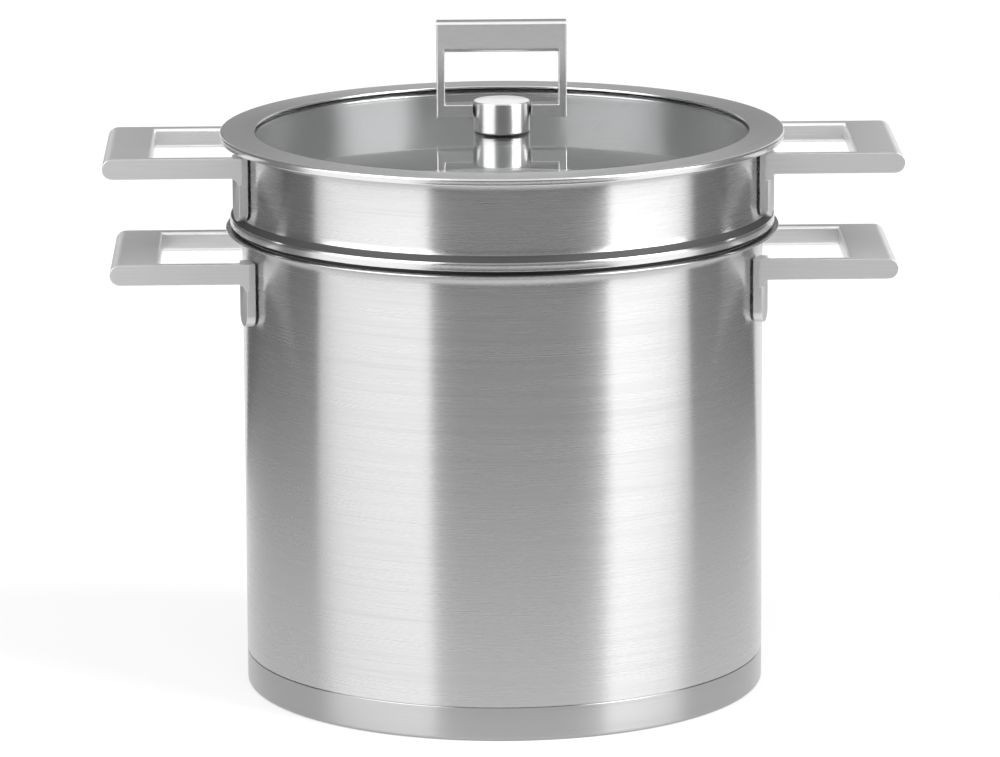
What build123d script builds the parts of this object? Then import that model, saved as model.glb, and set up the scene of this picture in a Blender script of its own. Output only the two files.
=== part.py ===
from build123d import *
from math import asin, atan2, cos, degrees, radians, sin, sqrt
import os

os.makedirs("parts", exist_ok=True)

# Stockpot with a lift-out strainer insert and a glass lid, at real size in millimetres.
# Origin at the middle of the base on the table, Z up, handles along X, front towards -Y.

# Pot, drawn from one sheet
pot_radius = 110.0  # inside, a 22 cm pot
pot_sheet = 0.8
pot_height = 198.3  # table to the top of the pouring rim
pot_corner = 7.5  # floor to wall
rim_bend = 4.6  # under the rim, where the wall turns outwards
rim_lip = 2.3  # flat lip beyond the bend

# Sandwich base: an aluminium disc in a stainless cup, pressed on under the pot's floor
cup_sheet = 0.7
cup_edge = 1.0  # softened edge that meets the table
core_thickness = 6.5
seam_width = 0.3  # fine groove where the cup's edge meets the wall

# Insert, upper piece: a plain collar with a lip above and a flared foot below
collar_step = 2.5  # how much wider than the pot the collar is, inside to inside
collar_sheet = 0.8
collar_rise = 40.1  # the pot's rim to the top of the collar, where the lid rests
collar_bend = 4.6
foot_gap = 2.1  # the pot's rim to the free edge of the foot, seen as a dark line
foot_reach = 2.7  # how far the foot flares out
foot_rise = 6.6

# Insert, lower piece: a perforated basket whose conical shoulder hangs on the pot's rim
basket_clearance = 4.0  # the pot's inside to the basket's outside
basket_sheet = 0.8
water_gap = 10.0  # under the basket
basket_corner = 9.0
neck_overlap = 1.2  # height over which the neck is welded into the collar
shoulder_clearance = 0.25
neck_clearance = 0.1  # neck inside the collar, where the two are spot welded

# Perforations: upright slots in the wall, round the clock, and rings of holes in the floor
slot_width = 5.0
slot_height = 9.0
slots_per_row = 20
slot_rows = 4
slot_margin = 17.0  # shoulder or corner to the nearest row
floor_hole = 2.8
floor_hole_sides = 6
floor_rings = 2
floor_margin = 23.0  # outermost ring of holes to the corner
floor_ring_step = 6  # holes that each ring adds

# Loop handles, two on the pot and two on the insert, all alike
grip_projection = 55.2  # wall to the outer end
grip_width = 20.3  # the flat plate that the fingers close round
handle_half_width = 39.3
handle_height = 8.6
arm_width = 5.2
finger_edge = 1.3  # softened edge of the finger hole
leg_standoff = 0.55  # leg to wall, set by the weld pads
leg_thickness = 3.8
leg_width = 10.4
leg_drop = 27.5  # top of the arm to the bottom of the leg
leg_gusset = 2.8  # sloping corner under the arm
arm_root = 2.0  # how far the arm runs into the leg
pot_handle_drop = 9.4  # the pot's rim to the top of the arms
insert_handle_drop = 4.2  # the collar's top to the top of the arms
pad_width = 5.6
pad_height = 6.0
pad_seam = 0.05  # pad to the curved wall
pad_inset = 4.2  # top of the arm to the middle of the upper pad

# Lid: a glass disc held under a stainless ring by a silicone seal
lid_ring_gap = 1.1  # the collar's lip to the turned down edge
lid_ring_width = 15.0
lid_ring_sheet = 1.0
lid_ring_skirt = 3.1  # depth of the turned down edge
lid_ring_shoulder = 1.8
lid_play = 0.3  # seal inside the collar
seal_thickness = 0.6
seal_width = 5.2
glass_inset = 0.9  # edge of the glass inside the edge of the seal
glass_thickness = 4.0
glass_hole = 4.0

# Knob in the middle of the lid, screwed on from below through the glass
knob_radius = 12.0
knob_height = 13.0
washer_radius = 11.2
washer_thickness = 0.8
screw_radius = 3.0
screw_fit = 0.02
screw_reach = 6.6  # into the knob, short of the pin
screw_end_gap = 0.5
screw_head_radius = 7.5
screw_head_height = 2.5
screw_head_sides = 6

# Loop that folds down over the lid on a pin through the knob
loop_width = 55.2
loop_depth = 8.5
loop_side = 3.5  # width of the upright bars
loop_bar = 13.1  # height of the top bar
loop_foot = 5.4  # height of the two feet that reach in to the knob
loop_height = 38.3  # pivot to the top
loop_gap = 1.15  # foot to knob
loop_round = 2.0
pivot_height = 8.7  # pivot above the knob's underside
pin_radius = 1.5
pin_fit = 0.02  # in the knob, where the pin is pressed through
pin_play = 0.05  # in the foot, which turns on the pin
pin_in_foot = 8.0
pin_end_gap = 0.3

overrun = 4.0  # how far a cut reaches past what it cuts


# Places that follow from the sizes above
pot_outside = pot_radius + pot_sheet
pot_floor = cup_sheet + core_thickness  # underside of the pot's floor
corner_top = pot_floor + pot_corner
rim_bend_radius = pot_outside + rim_bend  # centre of the bend
rim_bend_height = pot_height - pot_sheet - rim_bend
rim_radius = rim_bend_radius + rim_lip
pot_handle_top = pot_height - pot_handle_drop

collar_radius = pot_radius + collar_step
collar_outside = collar_radius + collar_sheet
collar_top = pot_height + collar_rise
lip_radius = collar_outside + collar_bend
lip_height = collar_top - collar_sheet - collar_bend
foot_top = pot_height + foot_gap + foot_rise
insert_handle_top = collar_top - insert_handle_drop

basket_radius = pot_radius - basket_clearance
basket_bottom = pot_floor + pot_sheet + water_gap
basket_neck_top = foot_top + neck_overlap
floor_ring_pitch = (basket_radius - basket_corner - floor_margin) / floor_rings

glass_top = collar_top - seal_thickness
glass_bottom = glass_top - glass_thickness
seal_radius = collar_radius - lid_play
glass_radius = seal_radius - glass_inset
lid_top = collar_top + lid_ring_sheet
lid_ring_radius = lip_radius + lid_ring_gap + lid_ring_sheet
lid_ring_bore = lid_ring_radius - lid_ring_width
knob_seat = glass_top + washer_thickness
pivot = knob_seat + pivot_height


def bend(across, up, radius, start, turn, steps):
    """Points along a bend in sheet metal, round its centre, in the plane of the profile."""
    return [
        (
            across + radius * cos(radians(start + turn * step / steps)),
            up + radius * sin(radians(start + turn * step / steps)),
        )
        for step in range(steps + 1)
    ]


# Pot shell
with BuildPart() as pot_shell:
    with BuildSketch(Plane.XZ):
        with BuildLine():
            Polyline(
                (0, pot_floor),
                (pot_outside - pot_corner, pot_floor),
                (pot_outside, corner_top),
                *bend(rim_bend_radius, rim_bend_height, rim_bend, 180, -90, 2),
                (rim_radius, pot_height - pot_sheet),
                (rim_radius, pot_height),
                *bend(rim_bend_radius, rim_bend_height, rim_bend + pot_sheet, 90, 90, 2),
                (pot_radius, corner_top),
                (pot_radius - pot_corner, pot_floor + pot_sheet),
                (0, pot_floor + pot_sheet),
                close=True,
            )
        make_face()
    revolve(axis=Axis.Z)
pot_shell.part.label = "pot_shell"
export_step(pot_shell.part, "parts/pot_shell.step")

# Aluminium disc that spreads the heat
with BuildPart() as base_core:
    with BuildSketch(Plane.XY.offset(cup_sheet)):
        Circle(pot_outside - pot_corner)
    extrude(amount=core_thickness)
base_core.part.label = "base_core"
export_step(base_core.part, "parts/base_core.step")

# Stainless cup that closes the base, its edge coined against the pot's corner
with BuildPart() as base_cup:
    with BuildSketch(Plane.XZ):
        with BuildLine():
            Polyline(
                (0, 0),
                (pot_outside - cup_edge, 0),
                (pot_outside, cup_edge),
                (pot_outside, corner_top - seam_width),
                (pot_outside - cup_sheet, corner_top - seam_width - cup_sheet),
                (pot_outside - cup_sheet, cup_sheet),
                (0, cup_sheet),
                close=True,
            )
        make_face()
    revolve(axis=Axis.Z)
base_cup.part.label = "base_cup"
export_step(base_cup.part, "parts/base_cup.step")

# Collar of the insert
foot_radius = (foot_reach**2 + foot_rise**2) / (2 * foot_reach)
foot_turn = degrees(asin(foot_rise / foot_radius))
with BuildPart() as insert_collar:
    with BuildSketch(Plane.XZ):
        with BuildLine():
            Polyline(
                *bend(collar_outside + foot_radius, foot_top, foot_radius, 180, foot_turn, 2),
                *bend(
                    collar_outside + foot_radius,
                    foot_top,
                    foot_radius + collar_sheet,
                    180 + foot_turn,
                    -foot_turn,
                    2,
                ),
                *bend(lip_radius, lip_height, collar_bend + collar_sheet, 180, -90, 2),
                *bend(lip_radius, lip_height, collar_bend, 90, 90, 2),
                close=True,
            )
        make_face()
    revolve(axis=Axis.Z)
insert_collar.part.label = "insert_collar"
export_step(insert_collar.part, "parts/insert_collar.step")

# Basket of the insert. Its shoulder is a cone that touches the bend of the pot's rim half way round.
neck_radius = collar_radius - neck_clearance
shoulder_under = sqrt(2) * (rim_bend + pot_sheet + shoulder_clearance)
shoulder_over = shoulder_under + sqrt(2) * basket_sheet
shoulder_base = rim_bend_height - rim_bend_radius
with BuildPart() as strainer_basket:
    with BuildSketch(Plane.XZ):
        with BuildLine():
            Polyline(
                (0, basket_bottom),
                (basket_radius - basket_corner, basket_bottom),
                (basket_radius, basket_bottom + basket_corner),
                (basket_radius, shoulder_base + basket_radius + shoulder_under),
                (neck_radius, shoulder_base + neck_radius + shoulder_under),
                (neck_radius, basket_neck_top),
                (neck_radius - basket_sheet, basket_neck_top),
                (
                    neck_radius - basket_sheet,
                    shoulder_base + neck_radius - basket_sheet + shoulder_over,
                ),
                (
                    basket_radius - basket_sheet,
                    shoulder_base + basket_radius - basket_sheet + shoulder_over,
                ),
                (basket_radius - basket_sheet, basket_bottom + basket_corner),
                (basket_radius - basket_corner, basket_bottom + basket_sheet),
                (0, basket_bottom + basket_sheet),
                close=True,
            )
        make_face()
    revolve(axis=Axis.Z)
    lowest_row = basket_bottom + basket_corner + slot_margin
    highest_row = shoulder_base + basket_radius + shoulder_under - slot_margin
    slot_turn = 360 / slots_per_row
    for row in range(slot_rows):
        row_height = lowest_row + (highest_row - lowest_row) * row / (slot_rows - 1)
        for place in range(slots_per_row):
            angle = radians(slot_turn * (place + row / 2))
            facing = Plane(
                origin=(0, 0, row_height),
                x_dir=(-sin(angle), cos(angle), 0),
                z_dir=(cos(angle), sin(angle), 0),
            )
            with BuildSketch(facing.offset(basket_radius - overrun)):
                Rectangle(slot_width, slot_height)
    extrude(amount=2 * overrun, mode=Mode.SUBTRACT)
    with BuildSketch(Plane.XY.offset(basket_bottom - overrun)):
        RegularPolygon(floor_hole, floor_hole_sides)
        for ring in range(1, floor_rings + 1):
            with PolarLocations(ring * floor_ring_pitch, ring * floor_ring_step):
                RegularPolygon(floor_hole, floor_hole_sides)
    extrude(amount=basket_sheet + 2 * overrun, mode=Mode.SUBTRACT)
strainer_basket.part.label = "strainer_basket"
export_step(strainer_basket.part, "parts/strainer_basket.step")


def leg_plane(wall_radius, standoff, height, end):
    """Plane that touches a wall beside one end of a handle, looking outwards, its x axis level."""
    leg_face = wall_radius + leg_standoff + leg_thickness
    reach = sqrt(leg_face**2 + (leg_width / 2) ** 2)
    angle = end * (asin(handle_half_width / reach) - atan2(leg_width / 2, leg_face))
    return Plane(
        origin=(
            (wall_radius + standoff) * cos(angle),
            (wall_radius + standoff) * sin(angle),
            height,
        ),
        x_dir=(-sin(angle), cos(angle), 0),
        z_dir=(cos(angle), sin(angle), 0),
    )


def loop_handle(wall_radius, top):
    """One forged loop handle for the right side of a wall of this outside radius."""
    leg_front = leg_plane(wall_radius, leg_standoff + leg_thickness, top, 1)
    slope = leg_front.z_dir.Y / leg_front.z_dir.X
    arm_middle = handle_half_width - arm_width / 2
    root = leg_front.origin.X + (leg_front.origin.Y - arm_middle) * slope
    grip_end = wall_radius + grip_projection - handle_height / 2
    with BuildPart() as handle:
        with BuildSketch(Plane.XZ):
            with BuildLine():
                Polyline(
                    (root, top - handle_height - leg_gusset),
                    (root - arm_root, top - handle_height - leg_gusset),
                    (root - arm_root, top),
                    (grip_end, top),
                )
                ThreePointArc(
                    (grip_end, top),
                    (wall_radius + grip_projection, top - handle_height / 2),
                    (grip_end, top - handle_height),
                )
                Polyline(
                    (grip_end, top - handle_height),
                    (root + leg_gusset, top - handle_height),
                    (root, top - handle_height - leg_gusset),
                )
            make_face()
        extrude(amount=handle_half_width, both=True)
        with BuildSketch(Plane.XY.offset(top + overrun)):
            with Locations((wall_radius + grip_projection - grip_width, 0)):
                Rectangle(
                    grip_projection,
                    2 * (handle_half_width - arm_width),
                    align=(Align.MAX, Align.CENTER),
                )
        extrude(amount=-(handle_height + leg_gusset + 2 * overrun), mode=Mode.SUBTRACT)
        finger_edges = [
            edge
            for face in (
                handle.faces().filter_by(Axis.Z).sort_by(Axis.Z)[-1],
                handle.faces().filter_by(Axis.Z).sort_by(Axis.Z)[-2],
            )
            for edge in face.edges()
            if abs(edge.center().Y) < arm_middle and edge.length > arm_width
            if edge.center().X < grip_end - finger_edge
        ]
        chamfer(finger_edges, finger_edge)
        straight = leg_drop - leg_width / 2
        for end in (-1, 1):
            with BuildSketch(leg_plane(wall_radius, leg_standoff, top, end)):
                with Locations((0, -straight / 2)):
                    Rectangle(leg_width, straight)
                with Locations((0, -straight)):
                    Circle(leg_width / 2)
            extrude(amount=leg_thickness)
    return handle.part


def weld_pads(wall_radius, top):
    """The four small pads that hold one handle's two legs off the wall."""
    with BuildPart() as pads:
        for end in (-1, 1):
            with BuildSketch(leg_plane(wall_radius, pad_seam, top, end)):
                with Locations((0, -pad_inset), (0, pad_inset + pad_height / 2 - leg_drop)):
                    Rectangle(pad_width, pad_height)
            extrude(amount=leg_standoff - pad_seam)
    return pads.part


# Handles and pads of the pot
pot_handle = loop_handle(pot_outside, pot_handle_top)
with BuildPart() as pot_handle_right:
    add(pot_handle)
pot_handle_right.part.label = "pot_handle_right"
export_step(pot_handle_right.part, "parts/pot_handle_right.step")
with BuildPart() as pot_handle_left:
    mirror(pot_handle, about=Plane.YZ)
pot_handle_left.part.label = "pot_handle_left"
export_step(pot_handle_left.part, "parts/pot_handle_left.step")

pot_pads = weld_pads(pot_outside, pot_handle_top)
with BuildPart() as pot_pads_right:
    add(pot_pads)
pot_pads_right.part.label = "pot_pads_right"
export_step(pot_pads_right.part, "parts/pot_pads_right.step")
with BuildPart() as pot_pads_left:
    mirror(pot_pads, about=Plane.YZ)
pot_pads_left.part.label = "pot_pads_left"
export_step(pot_pads_left.part, "parts/pot_pads_left.step")

# Handles and pads of the insert
insert_handle = loop_handle(collar_outside, insert_handle_top)
with BuildPart() as insert_handle_right:
    add(insert_handle)
insert_handle_right.part.label = "insert_handle_right"
export_step(insert_handle_right.part, "parts/insert_handle_right.step")
with BuildPart() as insert_handle_left:
    mirror(insert_handle, about=Plane.YZ)
insert_handle_left.part.label = "insert_handle_left"
export_step(insert_handle_left.part, "parts/insert_handle_left.step")

insert_pads = weld_pads(collar_outside, insert_handle_top)
with BuildPart() as insert_pads_right:
    add(insert_pads)
insert_pads_right.part.label = "insert_pads_right"
export_step(insert_pads_right.part, "parts/insert_pads_right.step")
with BuildPart() as insert_pads_left:
    mirror(insert_pads, about=Plane.YZ)
insert_pads_left.part.label = "insert_pads_left"
export_step(insert_pads_left.part, "parts/insert_pads_left.step")

# Lid ring: a flat band with its outer edge turned down over the collar's lip
with BuildPart() as lid_ring:
    with BuildSketch(Plane.XZ):
        with BuildLine():
            Polyline(
                (lid_ring_bore, collar_top),
                (lid_ring_bore, lid_top),
                (lid_ring_radius - lid_ring_shoulder, lid_top),
                (lid_ring_radius, lid_top - lid_ring_shoulder),
                (lid_ring_radius, lid_top - lid_ring_skirt),
                (lid_ring_radius - lid_ring_sheet, lid_top - lid_ring_skirt),
                (lid_ring_radius - lid_ring_sheet, collar_top),
                close=True,
            )
        make_face()
    revolve(axis=Axis.Z)
lid_ring.part.label = "lid_ring"
export_step(lid_ring.part, "parts/lid_ring.step")

# Seal: a flat band of silicone between ring and glass, which keeps the lid central in the collar
with BuildPart() as lid_seal:
    with BuildSketch(Plane.XY.offset(glass_top)):
        Circle(seal_radius)
        Circle(seal_radius - seal_width, mode=Mode.SUBTRACT)
    extrude(amount=seal_thickness)
lid_seal.part.label = "lid_seal"
export_step(lid_seal.part, "parts/lid_seal.step")

# Tempered glass disc
with BuildPart() as lid_glass:
    with BuildSketch(Plane.XY.offset(glass_bottom)):
        Circle(glass_radius)
        Circle(glass_hole, mode=Mode.SUBTRACT)
    extrude(amount=glass_thickness)
lid_glass.part.label = "lid_glass"
export_step(lid_glass.part, "parts/lid_glass.step")

# Silicone washer between glass and knob
with BuildPart() as knob_washer:
    with BuildSketch(Plane.XY.offset(glass_top)):
        Circle(washer_radius)
        Circle(glass_hole, mode=Mode.SUBTRACT)
    extrude(amount=washer_thickness)
knob_washer.part.label = "knob_washer"
export_step(knob_washer.part, "parts/knob_washer.step")

# Knob, with a tapped hole below and a cross hole for the pin
with BuildPart() as lid_knob:
    with BuildSketch(Plane.XY.offset(knob_seat)):
        Circle(knob_radius)
    extrude(amount=knob_height)
    with BuildSketch(Plane.XY.offset(knob_seat)):
        Circle(screw_radius + screw_fit)
    extrude(amount=screw_reach, mode=Mode.SUBTRACT)
    with BuildSketch(Plane.YZ):
        with Locations((0, pivot)):
            Circle(pin_radius + pin_fit)
    extrude(amount=knob_radius + overrun, both=True, mode=Mode.SUBTRACT)
lid_knob.part.label = "lid_knob"
export_step(lid_knob.part, "parts/lid_knob.step")

# Screw that holds the knob from below the glass
with BuildPart() as knob_screw:
    with BuildSketch(Plane.XY.offset(glass_bottom - screw_head_height)):
        RegularPolygon(screw_head_radius, screw_head_sides)
    extrude(amount=screw_head_height)
    with BuildSketch(Plane.XY.offset(glass_bottom)):
        Circle(screw_radius)
    extrude(amount=knob_seat + screw_reach - screw_end_gap - glass_bottom)
knob_screw.part.label = "knob_screw"
export_step(knob_screw.part, "parts/knob_screw.step")

# Loop: top bar, two uprights and two feet with pin holes
foot_end = knob_radius + loop_gap
window_floor = pivot + loop_foot / 2
window_top = pivot + loop_height - loop_bar
with BuildPart() as lid_loop:
    with BuildSketch(Plane.XZ):
        with BuildLine():
            Polyline(
                (foot_end, pivot - loop_foot / 2),
                (loop_width / 2, pivot - loop_foot / 2),
                (loop_width / 2, pivot + loop_height),
                (-loop_width / 2, pivot + loop_height),
                (-loop_width / 2, pivot - loop_foot / 2),
                (-foot_end, pivot - loop_foot / 2),
                (-foot_end, window_floor),
                (-loop_width / 2 + loop_side, window_floor),
                (-loop_width / 2 + loop_side, window_top),
                (loop_width / 2 - loop_side, window_top),
                (loop_width / 2 - loop_side, window_floor),
                (foot_end, window_floor),
                close=True,
            )
        make_face()
    extrude(amount=loop_depth / 2, both=True)
    fillet(lid_loop.edges().filter_by(Axis.X).group_by(Axis.Z)[-1], loop_round)
    for way in (-1, 1):
        with BuildSketch(Plane.YZ.offset(way * foot_end)):
            with Locations((0, pivot)):
                Circle(pin_radius + pin_play)
        extrude(amount=way * (pin_in_foot + pin_end_gap), mode=Mode.SUBTRACT)
lid_loop.part.label = "lid_loop"
export_step(lid_loop.part, "parts/lid_loop.step")

# Pin, pressed through the knob, on which the loop turns
with BuildPart() as pivot_pin:
    with BuildSketch(Plane.YZ):
        with Locations((0, pivot)):
            Circle(pin_radius)
    extrude(amount=knob_radius + loop_gap + pin_in_foot, both=True)
pivot_pin.part.label = "pivot_pin"
export_step(pivot_pin.part, "parts/pivot_pin.step")
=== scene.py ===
# %% [markdown]
# # Pasta pot with strainer insert
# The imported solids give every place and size. This lesson dresses them: each piece gets its real
# edges and bends, and each metal the grain that its polishing left. Sizes are written in
# millimetres, as a maker reads them, and are turned to metres where a mesh is made.

# %% Load the frame
import bmesh
import bpy
from math import asin, atan2, cos, degrees, pi, radians, sin, sqrt, tan
from mathutils import Matrix, Vector


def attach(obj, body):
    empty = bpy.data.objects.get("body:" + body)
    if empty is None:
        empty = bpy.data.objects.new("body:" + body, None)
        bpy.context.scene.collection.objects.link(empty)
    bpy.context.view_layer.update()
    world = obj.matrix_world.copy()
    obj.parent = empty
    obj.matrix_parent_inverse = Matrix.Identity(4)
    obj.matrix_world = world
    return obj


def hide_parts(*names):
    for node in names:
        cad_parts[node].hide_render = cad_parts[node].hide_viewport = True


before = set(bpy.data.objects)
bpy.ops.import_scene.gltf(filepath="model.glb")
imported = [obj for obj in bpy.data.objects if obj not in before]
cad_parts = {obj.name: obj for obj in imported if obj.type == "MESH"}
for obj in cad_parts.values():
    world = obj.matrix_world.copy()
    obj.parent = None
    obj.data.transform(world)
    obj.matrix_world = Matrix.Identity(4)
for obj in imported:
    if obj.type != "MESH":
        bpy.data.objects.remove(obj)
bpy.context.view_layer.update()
MM = 0.001

# %% [markdown]
# ## Colours and nodes
# Colours are picked as a screen shows them. The renderer counts light, so one function turns each
# hex value to linear numbers. A second one adds a node with its settings and its links.

# %% Colour and node helpers
def linear(hex_colour):
    """Linear red, green, blue and alpha of an sRGB hex colour."""
    parts = [int(hex_colour[i:i + 2], 16) / 255 for i in (1, 3, 5)]
    return [p / 12.92 if p <= 0.04045 else ((p + 0.055) / 1.055) ** 2.4 for p in parts] + [1.0]


def add(tree, kind, sockets=None, **settings):
    """Adds one node. Each socket gets a value, or a link where an output is given."""
    node = tree.nodes.new(kind)
    for name, value in settings.items():
        setattr(node, name, value)
    for key, value in (sockets or {}).items():
        if isinstance(value, bpy.types.NodeSocket):
            tree.links.new(value, node.inputs[key])
        else:
            node.inputs[key].default_value = value
    return node


def new_material(name):
    """An empty material with its output node."""
    material = bpy.data.materials.new(name)
    material.use_nodes = True
    material.node_tree.nodes.clear()
    return material, material.node_tree


print("steel grey in linear light:", [round(c, 3) for c in linear("#C4C4C6")[:3]])

# %% [markdown]
# ## Brushed stainless steel
# Pot, collar and lid are 18/10 stainless steel, spun on a lathe and brushed with a fine belt while
# they turn, so the scratches run round the axis. Real scratches are about 0.05 mm apart, too fine
# for a picture in which a pixel is 0.43 mm, so they are drawn about 0.4 mm apart. A scratched
# surface spreads light across its scratches: a highlight on the wall is drawn out up and down and
# keeps sharp sides. That is what the shader's anisotropy does, along a tangent that each turned
# piece carries in its UV map. An image of brushed metal could do it too, but it would show a seam.
# The pattern reads height plus radius, so it works on upright walls and flat rings alike.

# %% Turned steel finishes
RADIUS_SHARE = 0.93  # how much of the radius the pattern adds to the height
BELT_STREAK, BELT_LINE = 2, 7  # the belt's marks are this much longer and wider than the scratches
DARK_TINT, ROUGH_SWING, BUMP_STRENGTH = 0.955, 0.01, 0.3


def turned_steel(name, colour, roughness, anisotropy, line=0.4, streak=80.0, depth=0.003):
    """Stainless steel brushed on the lathe: line is the scratch spacing, streak its length, in mm."""
    material, tree = new_material(name)
    where = add(tree, "ShaderNodeTexCoord").outputs["Object"]
    flat = add(tree, "ShaderNodeVectorMath", {0: where, 1: (1, 1, 0)}, operation="MULTIPLY")
    radius = add(tree, "ShaderNodeVectorMath", {0: flat.outputs[0]}, operation="LENGTH").outputs["Value"]
    xyz = add(tree, "ShaderNodeSeparateXYZ", {0: where})
    across = add(tree, "ShaderNodeMath", {0: radius, 1: RADIUS_SHARE, 2: xyz.outputs["Z"]},
                 operation="MULTIPLY_ADD").outputs[0]
    path = add(tree, "ShaderNodeCombineXYZ",
               {0: xyz.outputs["X"], 1: xyz.outputs["Y"], 2: across}).outputs[0]
    fine = (1 / (streak * MM), 1 / (streak * MM), 1 / (line * MM))
    scratch_at = add(tree, "ShaderNodeVectorMath", {0: path, 1: fine}, operation="MULTIPLY").outputs[0]
    scratches = add(tree, "ShaderNodeTexNoise",
                    {"Vector": scratch_at, "Scale": 1.0, "Detail": 2.0, "Roughness": 0.6}).outputs[0]
    belt_run = 1 / (BELT_STREAK * streak * MM)
    coarse = (belt_run, belt_run, 1 / (BELT_LINE * line * MM))
    belt_at = add(tree, "ShaderNodeVectorMath", {0: path, 1: coarse}, operation="MULTIPLY").outputs[0]
    belt = add(tree, "ShaderNodeTexNoise",
               {"Vector": belt_at, "Scale": 1.0, "Detail": 3.0, "Roughness": 0.55}).outputs[0]
    both = add(tree, "ShaderNodeMath", {0: scratches, 1: belt}, operation="ADD").outputs[0]
    tint = add(tree, "ShaderNodeValToRGB", {"Fac": both})
    stops = tint.color_ramp.elements
    stops[0].position, stops[0].color = 0.75, [c * DARK_TINT for c in linear(colour)[:3]] + [1.0]
    stops[1].position, stops[1].color = 1.0, linear(colour)
    rough = add(tree, "ShaderNodeMapRange",
                {"Value": both, "From Min": 0.7, "From Max": 1.3,
                 "To Min": roughness - ROUGH_SWING, "To Max": roughness + ROUGH_SWING}).outputs[0]
    bump = add(tree, "ShaderNodeBump",
               {"Height": both, "Strength": BUMP_STRENGTH, "Distance": depth * MM}).outputs[0]
    shader = add(tree, "ShaderNodeBsdfPrincipled",
                 {"Base Color": tint.outputs[0], "Metallic": 1.0, "Roughness": rough,
                  "Anisotropic": anisotropy, "Normal": bump})
    if anisotropy:
        tangent = add(tree, "ShaderNodeTangent", direction_type="UV_MAP", uv_map="brushing").outputs[0]
        tree.links.new(tangent, shader.inputs["Tangent"])
    add(tree, "ShaderNodeOutputMaterial", {"Surface": shader.outputs[0]})
    return material


wall_steel = turned_steel("stainless_brushed_wall", "#BCBCBC", 0.27, 1.0)
# Painted light: the inside of the pot and collar is a much lighter copy of the wall's steel, so that it shows
# bright through the glass.
lit_inside_steel = turned_steel("stainless_brushed_inside_painted_light", "#FAFAFA", 0.40, 1.0, depth=0.006)
cup_steel = turned_steel("stainless_brushed_base", "#ACACAD", 0.29, 1.0)
ring_steel = turned_steel("stainless_turned_ring", "#D8D8D9", 0.42, 0.4)
strainer_steel = turned_steel("stainless_punched_strainer", "#ECECEC", 0.55, 0.0, line=0.5)
edge_steel = turned_steel("stainless_polished_edge", "#DCDCDC", 0.24, 0.3)
# Painted shade: a dark copy of the steel, put on the collar's inner side and the strainer's neck in the gap, where
# little light reaches.
shade_painted_steel = turned_steel("stainless_painted_shade", "#4C4C4C", 0.6, 0.0)
print("turned finishes:", wall_steel.name, cup_steel.name, ring_steel.name, strainer_steel.name)

# %% [markdown]
# ## Forged and polished steel
# The handles and the loop are forged, ground flat and brushed along their length, so their grain is
# straight. Corners are rubbed smoother, and the edge mask from the mesh's pointiness paints them
# lighter: partly that wear, partly a painted highlight. The knob is turned to a soft shine with faint
# turning marks; its top is dull, and its lighter colour is painted light.

# %% Straight grained and polished finishes
# The rubbed corners are painted lighter: partly wear, partly a painted highlight.
FLAT_PART, WORN_AND_LIT_EDGE = 0.52, 0.62  # pointiness where the rubbed corners begin and are brightest
GRAIN_TINT, GRAIN_SWING, GRAIN_DEPTH, WORN_AND_LIT_STEEL = 0.92, 0.02, 0.012, linear("#E8E8E8")


def forged_steel(name, colour, roughness, along, line=0.5, run=18.0):
    """Stainless steel ground with a straight grain; along is the axis of the grain."""
    material, tree = new_material(name)
    where = add(tree, "ShaderNodeTexCoord").outputs["Object"]
    stretch = [1 / (line * MM)] * 3
    stretch[along] = 1 / (run * MM)
    grain_at = add(tree, "ShaderNodeVectorMath", {0: where, 1: stretch}, operation="MULTIPLY").outputs[0]
    grain = add(tree, "ShaderNodeTexNoise",
                {"Vector": grain_at, "Scale": 1.0, "Detail": 3.0, "Roughness": 0.6}).outputs[0]
    edge = add(tree, "ShaderNodeNewGeometry").outputs["Pointiness"]
    wear_and_highlight = add(tree, "ShaderNodeMapRange",
               {"Value": edge, "From Min": FLAT_PART, "From Max": WORN_AND_LIT_EDGE,
                "To Min": 0.0, "To Max": 1.0}).outputs[0]
    base = linear(colour)
    grey = add(tree, "ShaderNodeValToRGB", {"Fac": grain})
    stops = grey.color_ramp.elements
    stops[0].position, stops[0].color = 0.3, [c * GRAIN_TINT for c in base[:3]] + [1.0]
    stops[1].position, stops[1].color = 0.7, base
    # The corners' lighter colour is partly wear and partly a painted highlight.
    rubbed_and_lit = add(tree, "ShaderNodeMixRGB",
              {"Fac": wear_and_highlight, "Color1": grey.outputs[0], "Color2": WORN_AND_LIT_STEEL}).outputs[0]
    rough = add(tree, "ShaderNodeMapRange",
                {"Value": grain, "From Min": 0.3, "From Max": 0.7,
                 "To Min": roughness + GRAIN_SWING, "To Max": roughness - GRAIN_SWING}).outputs[0]
    bump = add(tree, "ShaderNodeBump",
               {"Height": grain, "Strength": BUMP_STRENGTH, "Distance": GRAIN_DEPTH * MM}).outputs[0]
    shader = add(tree, "ShaderNodeBsdfPrincipled",
                 {"Base Color": rubbed_and_lit, "Metallic": 1.0, "Roughness": rough, "Normal": bump})
    add(tree, "ShaderNodeOutputMaterial", {"Surface": shader.outputs[0]})
    return material


grip_steel = forged_steel("stainless_satin_handle", "#F2F2F2", 0.41, 0, line=0.35, run=25.0)
loop_steel = forged_steel("stainless_satin_loop", "#E8E8E8", 0.36, 0, line=0.35, run=7.0)
knob_steel = turned_steel("stainless_polished_knob", "#CCCCCC", 0.34, 0.7, line=0.2, streak=30.0, depth=0.0004)
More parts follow.
